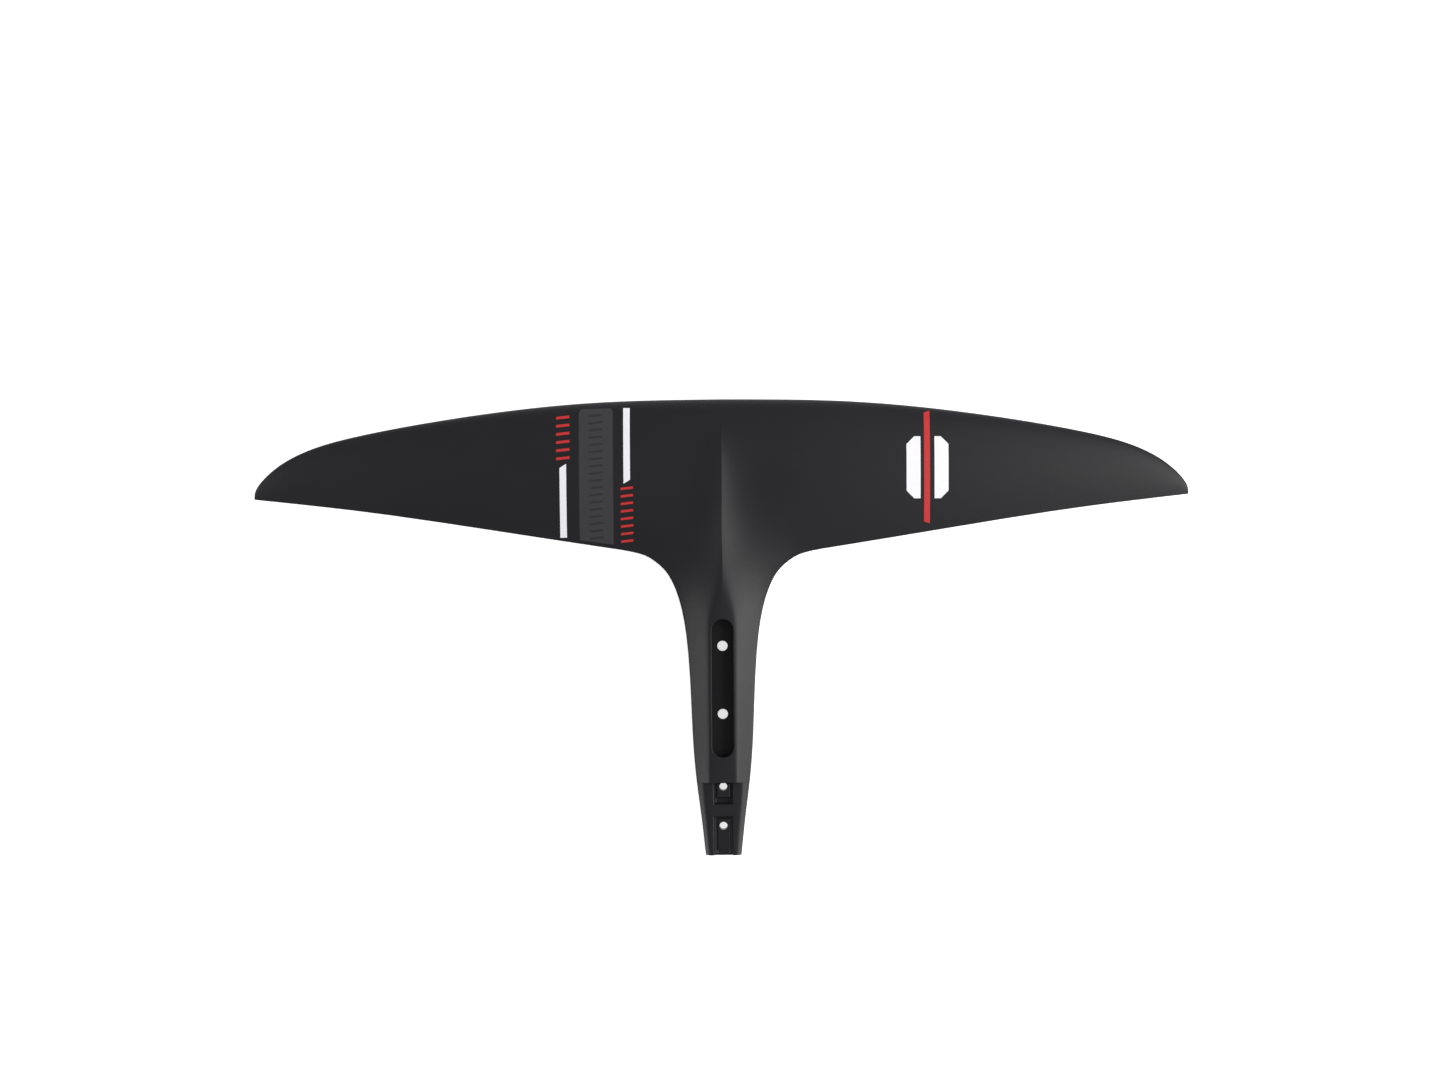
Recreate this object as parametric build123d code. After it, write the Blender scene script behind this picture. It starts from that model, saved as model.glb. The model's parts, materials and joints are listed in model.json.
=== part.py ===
from build123d import *
import math
import os
import numpy as np

# Hydrofoil front wing with an integral mast stub. Millimetres.
# X runs along the span, +Y points towards the leading edge, +Z is up.
# The origin is midway between the two mast bolts, on the floor of the mast socket.
# Lengths called "back" are distances behind the foremost point of the leading edge.

# ---------------------------------------------------------------- driving dimensions
HALF_SPAN = 402.5
LENGTH = 390.2
MAST_BOLT_BACK_FRONT = 211.4
MAST_BOLT_SPACING = 58.4
MAST_BOLT_HOLE_R = 4.4
MAST_HEAD_R = 7.6
MAST_SEAT_R = 9.2
MAST_SEAT_HEIGHT = 4.8
MAST_BOX_WALL = 2.6
MAST_BOX_FLOOR = 3.0
SOCKET_FRONT_BACK = 188.3
SOCKET_LENGTH = 117.8
SOCKET_WIDTH = 18.6
SOCKET_DEPTH = 15.0
CROWN_LIP = 3.2
CROWN_OVER_SEAM = 15.0
STUB_HALF_WIDTH_JOIN = 86.0
TAIL_BOLT_BACK_FRONT = 331.7
TAIL_BOLT_SPACING = 33.5
TAIL_BOLT_HOLE_R = 3.4
TAIL_HEAD_R = 5.6
TAIL_SLEEVE_R = 4.9
TAIL_SLEEVE_BOTTOM_Z = -9.5
POCKET_WIDTH = 16.2
POCKET_DEPTH = 4.0
POCKET_WELL_DEPTH = 6.2
FRONT_POCKET_BACKS = (327.8, 346.4)
REAR_POCKET_BACK = 357.0
PAD_SINK = 2.0
FRONT_PAD = {"width": 11.5, "backs": (328.6, 341.0), "rise": 2.0}
REAR_PAD = {"width": 11.0, "backs": (358.6, 386.0), "rise": 1.2}
TONGUE_BACK = 327.8
TONGUE_DROP = 7.7
TIP_DROP = 15.2
UPPER_CAMBER = 0.074
LOWER_CAMBER = 0.040
BELLY_SWELL = 0.72
RIM = 0.4
SKIN = 1.6
GRAPHIC_DEPTH = 0.25
EMBLEM_BACKS = (33.0, 86.0)
WEB_BACKS = (50.0, 54.0)
CENTRE_HALF_WIDTH = 40.0
CENTRE_JOINT_BACK = 130.0
TAIL_JOINT_BACK = 319.8
FLANK_FRONT_BACK = 136.0
FLARE_END_BACK = 190.0
CORE_TIP = 366.0
FAR = 500.0

# outline of the leading edge: distance out from the centre, distance back
LEAD_OUT = [0.0, 103.2, 172.0, 240.7, 309.5, 343.8, 378.2, 395.4, HALF_SPAN]
LEAD_BACK = [0.0, 2.0, 7.6, 16.7, 28.9, 37.4, 52.7, 67.0, 80.5]
# outline of the trailing edge, with its straight run carried on to the centre
TRAIL_OUT = [0.0, 86.0, 172.0, 240.7, 309.5, 361.0, HALF_SPAN]
TRAIL_BACK = [141.5, 128.6, 115.1, 104.2, 94.2, 88.0, 83.4]
# half width of the flared root and stub, against distance behind the wing's root corner
FLARE_BEHIND = [0.0, 1.0, 3.8, 9.2, 17.6, 26.0, 39.3, 60.8, 86.5, 130.0, 172.4, 198.8, 232.6, 261.6]
FLARE_HALF = [86.0, 80.6, 68.8, 58.5, 49.0, 43.5, 38.0, 32.8, 29.6, 27.1, 25.1, 22.7, 18.4, 15.3]
# height of the sharp ridge over the wing surface, along the centreline
RIDGE_BACK = [0.0, 18.0, 40.0, 60.0, 80.0, 100.0, 120.0, 146.0, 175.0, 200.0]
RIDGE_RISE = [0.0, 0.0, 2.1, 4.2, 6.4, 8.9, 11.4, 14.4, 16.5, 18.0]

# ---------------------------------------------------------------- derived dimensions
NOSE_Y = MAST_BOLT_BACK_FRONT + MAST_BOLT_SPACING / 2
CROWN_Z = SOCKET_DEPTH
CROWN_HALF_WIDTH = SOCKET_WIDTH / 2 + CROWN_LIP
SEAM_Z = CROWN_Z - CROWN_OVER_SEAM
TONGUE_Z = CROWN_Z - TONGUE_DROP
MAST_BOLT_BACKS = [MAST_BOLT_BACK_FRONT, MAST_BOLT_BACK_FRONT + MAST_BOLT_SPACING]
TAIL_BOLT_BACKS = [TAIL_BOLT_BACK_FRONT, TAIL_BOLT_BACK_FRONT + TAIL_BOLT_SPACING]

# ---------------------------------------------------------------- smooth curves


def smooth_curve(stations, values):
    """Natural cubic spline through a few stations."""
    s = np.array(stations, float)
    f = np.array(values, float)
    h = np.diff(s)
    n = len(s)
    matrix = np.eye(n)
    right = np.zeros(n)
    for i in range(1, n - 1):
        matrix[i, i - 1 : i + 2] = [h[i - 1], 2 * (h[i - 1] + h[i]), h[i]]
        right[i] = 6 * ((f[i + 1] - f[i]) / h[i] - (f[i] - f[i - 1]) / h[i - 1])
    bend = np.linalg.solve(matrix, right)

    def value(at):
        i = int(np.clip(np.searchsorted(s, at) - 1, 0, n - 2))
        a = s[i + 1] - at
        b = at - s[i]
        cubic = (bend[i] * a**3 + bend[i + 1] * b**3) / (6 * h[i])
        left = (f[i] / h[i] - bend[i] * h[i] / 6) * a
        return cubic + left + (f[i + 1] / h[i] - bend[i + 1] * h[i] / 6) * b

    return value


def root_of(distance):
    return math.sqrt(max(distance, 0.0))


def ease(value, low, high):
    """Goes smoothly from 0 at low to 1 at high."""
    return 0.5 + 0.5 * math.tanh(4 * ((value - low) / (high - low) - 0.5))


def soft_positive(value, rounding):
    """The value where it is positive, going smoothly to zero."""
    return (value + math.sqrt(value * value + rounding)) / 2


lead_curve = smooth_curve([root_of(HALF_SPAN - out) for out in reversed(LEAD_OUT)], LEAD_BACK[::-1])
trail_back = smooth_curve(TRAIL_OUT, TRAIL_BACK)
flare_roots = [root_of(behind) for behind in FLARE_BEHIND]
mirrored_roots = [-root for root in reversed(flare_roots[1:])]
flare_curve = smooth_curve(mirrored_roots + flare_roots, FLARE_HALF[:0:-1] + FLARE_HALF)
ridge_rise = smooth_curve(RIDGE_BACK, RIDGE_RISE)


def lead_back(out):
    return lead_curve(root_of(HALF_SPAN - out))


def wing_chord(out):
    return trail_back(out) - lead_back(out)


def seam_z(out):
    """Height of the seam between the two skins: the tips droop."""
    across = out / HALF_SPAN
    return SEAM_Z - TIP_DROP * (0.75 * across**2 + 0.25 * across**4)


class Envelope:
    """One nested copy of the wing's shape: the outside, or the space inside the skins."""

    def __init__(self, lead_inset, trail_inset, side_inset, tip_out, tail_back, thinner):
        self.lead_inset = lead_inset
        self.trail_inset = trail_inset
        self.side_inset = side_inset
        self.tip_out = tip_out
        self.tail_back = tail_back
        self.thinner = thinner
        self.corner_back = trail_back(STUB_HALF_WIDTH_JOIN) - trail_inset
        self.mid_back = FLARE_END_BACK
        reach = np.linspace(0.0, FLARE_BEHIND[-1] + trail_inset - 0.01, 1500)
        self.table_back = self.corner_back + reach
        self.table_half = np.array([self.half_width(back) for back in self.table_back])

    def lead(self, out):
        return lead_back(out) + self.lead_inset

    def half_width(self, back):
        root = root_of(back - self.corner_back)
        root_limit = root_of(FLARE_BEHIND[-1])
        half = flare_curve(min(root, root_limit)) - 3.0 * max(root - root_limit, 0.0)
        return half - self.side_inset * (1 - math.exp(-root / 2))

    def trail(self, out):
        """Distance back of the rear outline at this distance out, around the flare too."""
        if out >= STUB_HALF_WIDTH_JOIN:
            return trail_back(out) - self.trail_inset
        last = self.table_half[-1]
        if out < last:
            return self.table_back[-1] + 9.0 * (last - out)
        return float(np.interp(-out, -self.table_half, self.table_back))

    def section(self, out, back, rear_distance):
        """Aerofoil section: rises fast behind the leading edge, closes over a rear distance."""
        chord = wing_chord(out) - self.lead_inset - self.trail_inset
        front = math.tanh(1.6 * root_of((back - self.lead(out)) / chord))
        rear = 0.55 * math.tanh(rear_distance / chord / 0.55)
        return 2.97 * front * rear

    def wing_rise(self, out, back):
        """Height of the wing over the seam, closing along its trailing edge under the stub too."""
        full = UPPER_CAMBER * wing_chord(out) - self.thinner * ease(HALF_SPAN - out, -20, 60)
        waist = 1 - 0.5 * ease(back, 20, 120) * math.exp(-((out / 50.0) ** 2))
        inner = max(1 - (out / STUB_HALF_WIDTH_JOIN) ** 2, 0.0) ** 2
        rear_distance = soft_positive(trail_back(out) - self.trail_inset - back, 160.0 * inner)
        return full * waist * self.section(out, back, rear_distance)

    def roof(self, out, back):
        """Straight flank falling from 1 on the centreline to nearly 0 at the stub's side."""
        held = FLANK_FRONT_BACK + soft_positive(back - FLANK_FRONT_BACK, 16.0)
        return soft_positive(1 - out / self.half_width(held), 0.004)

    def sharp_rise(self, back):
        """Height of the sharp ridge on the centreline, in front of the flat crown."""
        rise = ridge_rise(min(back, RIDGE_BACK[-1])) - self.thinner * ease(back, 60, 140)
        return max(rise, 0.0)

    def crown_rise(self, back):
        """Ridge height that puts the edges of the flat crown at their stated width."""
        held = min(max(back, 150.0), 345.0)
        wanted = CROWN_OVER_SEAM - RIM - self.thinner - self.wing_rise(CROWN_HALF_WIDTH, held)
        return wanted / self.roof(CROWN_HALF_WIDTH, held)

    def upper(self, out, back):
        along = ease(back, 95, 185)
        spread = 9.0 + 15.0 * ease(back, 20, 125)
        ridge = (1 - along) * math.exp(-out / spread) + along * self.roof(out, back)
        full = ease(back, 145, 205)
        rise = (1 - full) * self.sharp_rise(back) + full * self.crown_rise(back)
        return seam_z(out) + RIM + self.wing_rise(out, back) + rise * ridge

    def lower(self, out, back):
        wing = LOWER_CAMBER * wing_chord(out) - self.thinner * ease(HALF_SPAN - out, -20, 60)
        swell = 1 + BELLY_SWELL * ease(back, 60, 215) * ease(-out, -110, -30)
        rear_distance = max(self.trail(out) - back, 0.0)
        return seam_z(out) - RIM - wing * swell * self.section(out, back, rear_distance)

    def seam(self, out, back):
        return seam_z(out)

    # the four patches of one half of the plan, each over two parameters from 0 to 1

    def wing_plan(self, u, v, power):
        inward = 1 - u
        share = 1 - 0.9 * inward**2 - 0.1 * inward
        out = STUB_HALF_WIDTH_JOIN + (self.tip_out - STUB_HALF_WIDTH_JOIN) * share
        return out, self.lead(out) + (self.trail(out) - self.lead(out)) * v**power

    def centre_plan(self, u, v, power):
        out = STUB_HALF_WIDTH_JOIN * u
        return out, self.lead(out) + (self.corner_back - self.lead(out)) * v**power

    def flare_plan(self, u, v, power):
        share = 0.15 * v + 0.85 * v**2
        back = self.corner_back + (self.mid_back - self.corner_back) * share
        return self.half_width(back) * u, back

    def stub_plan(self, u, v, power):
        back = self.mid_back + (self.tail_back - self.mid_back) * v
        return self.half_width(back) * u, back


outside = Envelope(0.0, 0.0, 0.0, HALF_SPAN, LENGTH, 0.0)
inside = Envelope(5.0, 11.0, 3.4, CORE_TIP, LENGTH - SKIN, SKIN)

# ---------------------------------------------------------------- surfaces and solids

DEGREE = 8
NODES = [(1 - math.cos(math.pi * k / DEGREE)) / 2 for k in range(DEGREE + 1)]
BLEND = np.array(
    [[math.comb(DEGREE, i) * t**i * (1 - t) ** (DEGREE - i) for i in range(DEGREE + 1)] for t in NODES]
)
UNBLEND = np.linalg.inv(BLEND)
ACROSS_BREAKS = [0.0, 0.3, 0.65, 1.0]
CHORD_BREAKS = [0.0, 0.6, 1.0]
FLARE_BREAKS = [0.0, 0.45, 1.0]
STUB_BREAKS = [0.0, 0.35, 0.7, 1.0]


def patch_net(plan, height, power, u_pair, v_pair):
    """Control net of the smooth patch that passes through the shape at the nodes."""
    points = np.zeros((DEGREE + 1, DEGREE + 1, 3))
    for i, u_share in enumerate(NODES):
        for j, v_share in enumerate(NODES):
            u = u_pair[0] + (u_pair[1] - u_pair[0]) * u_share
            v = v_pair[0] + (v_pair[1] - v_pair[0]) * v_share
            out, back = plan(u, v, power)
            points[i, j] = (out, NOSE_Y - back, height(out, back))
    return np.einsum("ai,ijk,bj->abk", UNBLEND, points, UNBLEND)


def patch_grid(plan, height, power, u_breaks, v_breaks):
    """Neighbouring patches that share their edges exactly."""
    return [
        [patch_net(plan, height, power, u_pair, v_pair) for v_pair in zip(v_breaks, v_breaks[1:])]
        for u_pair in zip(u_breaks, u_breaks[1:])
    ]


def face_of(net):
    return Face.make_bezier_surface([[Vector(*point) for point in row] for row in net])


def rim_strips(grid_a, grid_b, side):
    """Ruled strips between one side of two patch grids."""
    picks = {
        "front": lambda grid: [row[0][:, 0] for row in grid],
        "rear": lambda grid: [row[-1][:, -1] for row in grid],
        "outer": lambda grid: [net[-1] for net in grid[-1]],
    }
    pairs = zip(picks[side](grid_a), picks[side](grid_b))
    return [face_of(np.array([edge_a, edge_b])) for edge_a, edge_b in pairs]


def half_faces(envelope, top, bottom):
    """Faces of the right-hand half between two heights over the same plan.

    A skin leaves the leading edge upright, so its patches run with the square of their
    parameter there; the seam is flat and runs evenly.
    """
    layout = [
        (envelope.wing_plan, ACROSS_BREAKS, CHORD_BREAKS, ["front", "rear", "outer"]),
        (envelope.centre_plan, ACROSS_BREAKS, CHORD_BREAKS, ["front"]),
        (envelope.flare_plan, ACROSS_BREAKS, FLARE_BREAKS, ["outer"]),
        (envelope.stub_plan, ACROSS_BREAKS, STUB_BREAKS, ["outer", "rear"]),
    ]
    faces = []
    for plan, u_breaks, v_breaks, rims in layout:
        over = patch_grid(plan, top, 1 if top == envelope.seam else 2, u_breaks, v_breaks)
        under = patch_grid(plan, bottom, 1 if bottom == envelope.seam else 2, u_breaks, v_breaks)
        faces += [face_of(net) for row in over + under for net in row]
        for side in rims:
            faces += rim_strips(over, under, side)
    return faces


def shape_between(envelope, top, bottom):
    right = half_faces(envelope, top, bottom)
    left = [face.mirror(Plane.YZ) for face in right]
    return Solid(Shell(right + left))


def block(outs, backs, heights):
    """Box between two values across, two distances back and two heights."""
    x = sum(outs) / 2
    y = NOSE_Y - sum(backs) / 2
    z = sum(heights) / 2
    sizes = [abs(pair[1] - pair[0]) for pair in (outs, backs, heights)]
    return Pos(x, y, z) * Box(*sizes)


def disc(radius, back, heights):
    middle = sum(heights) / 2
    return Pos(0, NOSE_Y - back, middle) * Cylinder(radius, abs(heights[1] - heights[0]))


def socket_prism(wall, heights):
    """Stadium prism of the mast socket, grown by a wall thickness."""
    slot = SlotOverall(SOCKET_LENGTH + 2 * wall, SOCKET_WIDTH + 2 * wall, rotation=90)
    middle = NOSE_Y - SOCKET_FRONT_BACK - SOCKET_LENGTH / 2
    return Pos(0, middle, heights[0]) * extrude(slot, amount=heights[1] - heights[0])


upper_body = shape_between(outside, outside.upper, outside.seam)
lower_body = shape_between(outside, outside.seam, outside.lower)
hollow = shape_between(inside, inside.upper, inside.lower)
crown_trim = block((-FAR, FAR), (0, FAR), (CROWN_Z, FAR))
hollow = hollow - block((-FAR, FAR), (0, FAR), (CROWN_Z - SKIN, FAR))
hollow = hollow - block((-FAR, FAR), (TONGUE_BACK - SKIN, FAR), (TONGUE_Z - SKIN, FAR))
step_trim = block((-FAR, FAR), (TONGUE_BACK, FAR), (TONGUE_Z, FAR))
moulded_top = upper_body - crown_trim - step_trim

# ---------------------------------------------------------------- heights of the fittings
MAST_BOX_BOTTOM = -MAST_BOX_FLOOR
MAST_SEAT_BOTTOM = MAST_BOX_BOTTOM - MAST_SEAT_HEIGHT
POCKET_Z = TONGUE_Z - POCKET_DEPTH
PAD_BOTTOM = POCKET_Z - PAD_SINK

# ---------------------------------------------------------------- fittings


def mast_box():
    outer = socket_prism(MAST_BOX_WALL, (MAST_BOX_BOTTOM, CROWN_Z - SKIN))
    cup = outer - socket_prism(0, (0, FAR))
    for back in MAST_BOLT_BACKS:
        cup = cup - disc(MAST_BOLT_HOLE_R, back, (MAST_BOX_BOTTOM - 1, 1))
    return cup


def mast_seat(back):
    heights = (MAST_SEAT_BOTTOM, MAST_BOX_BOTTOM)
    return disc(MAST_SEAT_R, back, heights) - disc(MAST_BOLT_HOLE_R, back, heights)


def tail_sleeve(back):
    heights = (TAIL_SLEEVE_BOTTOM_Z, PAD_BOTTOM)
    return disc(TAIL_SLEEVE_R, back, heights) - disc(TAIL_BOLT_HOLE_R, back, heights)


def pad_block(pad):
    half = pad["width"] / 2
    return block((-half, half), pad["backs"], (PAD_BOTTOM, POCKET_Z + pad["rise"]))


def tail_pad(pad, back):
    return pad_block(pad) - disc(TAIL_BOLT_HOLE_R, back, (PAD_BOTTOM - 1, TONGUE_Z))


def tail_pockets():
    half = POCKET_WIDTH / 2
    front = block((-half, half), FRONT_POCKET_BACKS, (POCKET_Z, FAR))
    well_backs = (FRONT_PAD["backs"][1], FRONT_POCKET_BACKS[1])
    well = block((-half, half), well_backs, (TONGUE_Z - POCKET_WELL_DEPTH, FAR))
    rear = block((-half, half), (REAR_POCKET_BACK, FAR), (POCKET_Z, FAR))
    return front + well + rear


def mast_screw_wells():
    """Room below the mast seats for the heads of the screws that come up from the belly."""
    wells = [disc(MAST_HEAD_R, back, (-FAR, MAST_SEAT_BOTTOM)) for back in MAST_BOLT_BACKS]
    return wells[0] + wells[1]


def tail_fittings_room():
    room = pad_block(FRONT_PAD) + pad_block(REAR_PAD)
    for back in TAIL_BOLT_BACKS:
        room = room + disc(TAIL_SLEEVE_R, back, (TAIL_SLEEVE_BOTTOM_Z, PAD_BOTTOM))
        room = room + disc(TAIL_HEAD_R, back, (-FAR, TAIL_SLEEVE_BOTTOM_Z))
    return room


# ---------------------------------------------------------------- flush graphics


def inlay(outline):
    """Thin flush layer of the moulded top inside an outline of (across, back) corners."""
    face = make_face(Polyline([(x, NOSE_Y - back) for x, back in outline], close=True))
    prism = extrude(face, amount=100, both=True)
    below = Pos(0, 0, -GRAPHIC_DEPTH) * upper_body
    return (moulded_top & prism) - below


def bar(x_low, x_high, back_low, back_high, front_slant=0.0, rear_slant=0.0):
    """Bar along the chord; a slant moves its left corner back."""
    return [
        (x_low, back_low + front_slant),
        (x_high, back_low),
        (x_high, back_high),
        (x_low, back_high + rear_slant),
    ]


def dashes(x_low, x_high, back_low, back_high, count, filled, slant):
    """Row of equal slanted dashes in place of lettering."""
    pitch = (back_high - back_low) / (count - 1 + filled)
    marks = [
        bar(x_low, x_high, back_low + k * pitch, back_low + (k + filled) * pitch - slant, slant, slant)
        for k in range(count)
    ]
    return marks


def emblem_half(x_inner, x_outer):
    """Plain bar beside the red bar, with its two outer corners cut off."""
    front, rear = EMBLEM_BACKS
    cut = 0.55 * abs(x_outer - x_inner)
    x_cut = x_outer - math.copysign(cut, x_outer - x_inner)
    return [
        (x_inner, front),
        (x_cut, front),
        (x_outer, front + cut),
        (x_outer, rear - cut),
        (x_cut, rear),
        (x_inner, rear),
    ]


GRAPHICS = {
    "outer_white_stripe": [bar(-138.3, -132.6, 54.6, 117.8, 3.6)],
    "inner_white_stripe": [bar(-83.6, -78.0, 7.2, 68.6, 0.0, 3.4)],
    "size_marks": dashes(-141.0, -129.6, 13.2, 51.6, 6, 0.5, 1.2),
    "name_marks": dashes(-86.2, -75.6, 74.2, 122.6, 8, 0.5, 1.2),
    "panel_marks": dashes(-113.2, -101.4, 12.0, 119.8, 18, 0.5, 1.2),
    "red_bar": [bar(173.5, 178.5, 11.0, 107.4, 1.6, -1.6)],
    "emblem_left": [emblem_half(170.4, 158.4)],
    "emblem_right": [emblem_half(182.4, 194.4)],
}
PANEL_OUTLINE = [(-121.6, 10.6), (-119.2, 7.9), (-94.8, 7.3), (-92.5, 9.6), (-92.5, 124.0), (-121.6, 120.0)]


def graphic_inlays():
    inlays = {}
    for name, outlines in GRAPHICS.items():
        pieces = [inlay(outline) for outline in outlines]
        inlays[name] = pieces[0] if len(pieces) == 1 else Compound(children=[*pieces])
    panel = inlay(PANEL_OUTLINE)
    for outline in GRAPHICS["panel_marks"]:
        panel = panel - inlay(outline)
    inlays["name_panel"] = panel
    return inlays


# ---------------------------------------------------------------- skins and filling


def upper_skin():
    skin = moulded_top - hollow - socket_prism(0, (0, FAR)) - tail_pockets()
    for name, outlines in GRAPHICS.items():
        if name != "panel_marks":
            for outline in outlines:
                skin = skin - inlay(outline)
    return skin - inlay(PANEL_OUTLINE)


def lower_skin():
    return lower_body - hollow - mast_screw_wells() - tail_fittings_room()


def filling():
    """The inside of the skins cut into the blocks it is laid up from."""
    side = {"left": (-FAR, -CENTRE_HALF_WIDTH), "right": (CENTRE_HALF_WIDTH, FAR)}
    tall = (-FAR, FAR)
    parts = {}
    for name, outs in side.items():
        parts["front_core_" + name] = hollow & block(outs, (0, WEB_BACKS[0]), tall)
        parts["spar_web_" + name] = hollow & block(outs, WEB_BACKS, tall)
        parts["rear_core_" + name] = hollow & block(outs, (WEB_BACKS[1], FAR), tall)
    centre = (-CENTRE_HALF_WIDTH, CENTRE_HALF_WIDTH)
    parts["nose_block"] = hollow & block(centre, (0, CENTRE_JOINT_BACK), tall)
    stub = hollow & block(centre, (CENTRE_JOINT_BACK, TAIL_JOINT_BACK), tall)
    stub = stub - socket_prism(MAST_BOX_WALL, (MAST_BOX_BOTTOM, FAR)) - mast_screw_wells()
    for back in MAST_BOLT_BACKS:
        stub = stub - disc(MAST_SEAT_R, back, (MAST_SEAT_BOTTOM, MAST_BOX_BOTTOM))
    parts["stub_block"] = stub
    tail = hollow & block(centre, (TAIL_JOINT_BACK, FAR), tall)
    parts["tail_block"] = tail - tail_pockets() - tail_fittings_room()
    return parts


def all_parts():
    inlays = graphic_inlays()
    parts = {"upper_skin": upper_skin(), "lower_skin": lower_skin(), "mast_box": mast_box()}
    parts.update(filling())
    parts["mast_seat_front"] = mast_seat(MAST_BOLT_BACKS[0])
    parts["mast_seat_rear"] = mast_seat(MAST_BOLT_BACKS[1])
    parts["tail_pad_front"] = tail_pad(FRONT_PAD, TAIL_BOLT_BACKS[0])
    parts["tail_pad_rear"] = tail_pad(REAR_PAD, TAIL_BOLT_BACKS[1])
    parts["tail_sleeve_front"] = tail_sleeve(TAIL_BOLT_BACKS[0])
    parts["tail_sleeve_rear"] = tail_sleeve(TAIL_BOLT_BACKS[1])
    parts.update(inlays)
    return parts


os.makedirs("parts", exist_ok=True)
for part_name, part in all_parts().items():
    solids = part.solids()
    export_step(part, "parts/" + part_name + ".step")
    print(part_name, len(solids), "solid(s)", round(sum(s.volume for s in solids) / 1000, 3), "cm3")
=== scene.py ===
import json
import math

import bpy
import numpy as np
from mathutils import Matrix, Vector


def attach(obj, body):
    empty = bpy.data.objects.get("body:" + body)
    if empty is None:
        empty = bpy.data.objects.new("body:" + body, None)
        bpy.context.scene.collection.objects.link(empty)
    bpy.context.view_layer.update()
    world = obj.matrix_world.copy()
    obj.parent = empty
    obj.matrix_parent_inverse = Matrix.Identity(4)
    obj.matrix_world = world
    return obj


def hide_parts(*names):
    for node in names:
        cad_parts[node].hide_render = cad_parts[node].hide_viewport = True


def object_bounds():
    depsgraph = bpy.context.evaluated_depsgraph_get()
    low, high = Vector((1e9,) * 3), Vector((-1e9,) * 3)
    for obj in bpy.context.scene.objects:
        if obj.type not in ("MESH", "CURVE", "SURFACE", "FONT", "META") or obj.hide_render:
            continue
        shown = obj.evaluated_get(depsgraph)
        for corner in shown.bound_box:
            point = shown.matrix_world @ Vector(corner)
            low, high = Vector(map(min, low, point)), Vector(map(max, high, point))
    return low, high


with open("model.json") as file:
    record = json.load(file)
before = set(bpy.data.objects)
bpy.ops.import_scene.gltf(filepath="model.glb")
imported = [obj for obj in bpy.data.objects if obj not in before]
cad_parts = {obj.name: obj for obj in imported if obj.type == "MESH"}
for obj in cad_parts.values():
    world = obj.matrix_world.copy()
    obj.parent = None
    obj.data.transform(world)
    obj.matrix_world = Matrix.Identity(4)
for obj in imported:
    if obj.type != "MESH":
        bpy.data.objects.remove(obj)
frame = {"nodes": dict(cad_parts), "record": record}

# %% [markdown]
# # A hydrofoil front wing
# This is a moulded carbon wing for a hydrofoil board. Its stub takes the mast. The engineering
# model gives the frame: every solid part in its true place. Here the upper skin, the pads and
# the printed marks are made again as dense smooth surfaces, because a satin black surface shows
# every facet in its sheen. The lower skin and everything inside stay as the frame has them.
# We begin by measuring the frame.

cad_low, cad_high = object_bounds()
print("frame size in metres:", [round(b - a, 4) for a, b in zip(cad_low, cad_high)])

# %% [markdown]
# ## The outline
# A foil wing is drawn first in plan. A few stations along the leading edge, the trailing edge
# and the flare of the stub are enough, joined by a spline that bends evenly. Near the tip the
# leading edge turns ever faster, so its spline runs over the square root of the distance from
# the tip, where the same curve is gentle. The flare's spline does the same from its corner.

# %% Plan curves in millimetres
HALF_SPAN = 402.5
LENGTH = 390.2
NOSE_Y = 240.6
ROOT_JOIN = 86.0
LEAD_OUT = [0.0, 103.2, 172.0, 240.7, 309.5, 343.8, 378.2, 395.4, HALF_SPAN]
LEAD_BACK = [0.0, 2.0, 7.6, 16.7, 28.9, 37.4, 52.7, 67.0, 80.5]
TRAIL_OUT = [0.0, 86.0, 172.0, 240.7, 309.5, 361.0, HALF_SPAN]
TRAIL_BACK = [141.5, 128.6, 115.1, 104.2, 94.2, 88.0, 83.4]
FLARE_BEHIND = [0.0, 1.0, 3.8, 9.2, 17.6, 26.0, 39.3, 60.8, 86.5, 130.0, 172.4, 198.8, 232.6, 261.6]
FLARE_HALF = [86.0, 80.6, 68.8, 58.5, 49.0, 43.5, 38.0, 32.8, 29.6, 27.1, 25.1, 22.7, 18.4, 15.3]
CORNER_BACK = 128.6
TAIL_END_SLOPE = 9.0


def smooth_curve(stations, values):
    """Natural cubic spline: one cubic per gap, with slope and bend equal where they meet."""
    s = np.array(stations, float)
    f = np.array(values, float)
    gap = np.diff(s)
    n = len(s)
    system = np.eye(n)
    right = np.zeros(n)
    for i in range(1, n - 1):
        system[i, i - 1 : i + 2] = [gap[i - 1], 2 * (gap[i - 1] + gap[i]), gap[i]]
        right[i] = 6 * ((f[i + 1] - f[i]) / gap[i] - (f[i] - f[i - 1]) / gap[i - 1])
    bend = np.linalg.solve(system, right)

    def value(at):
        at = np.asarray(at, float)
        i = np.clip(np.searchsorted(s, at) - 1, 0, n - 2)
        a = s[i + 1] - at
        b = at - s[i]
        h = gap[i]
        cubic = (bend[i] * a**3 + bend[i + 1] * b**3) / (6 * h)
        return cubic + (f[i] / h - bend[i] * h / 6) * a + (f[i + 1] / h - bend[i + 1] * h / 6) * b

    return value


def root_of(distance):
    """Square root, and zero where the distance is negative."""
    return np.sqrt(np.maximum(distance, 0.0))


def ease(value, low, high):
    """Goes smoothly from 0 at low to 1 at high, as a hyperbolic tangent."""
    return 0.5 + 0.5 * np.tanh(4 * ((np.asarray(value, float) - low) / (high - low) - 0.5))


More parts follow.
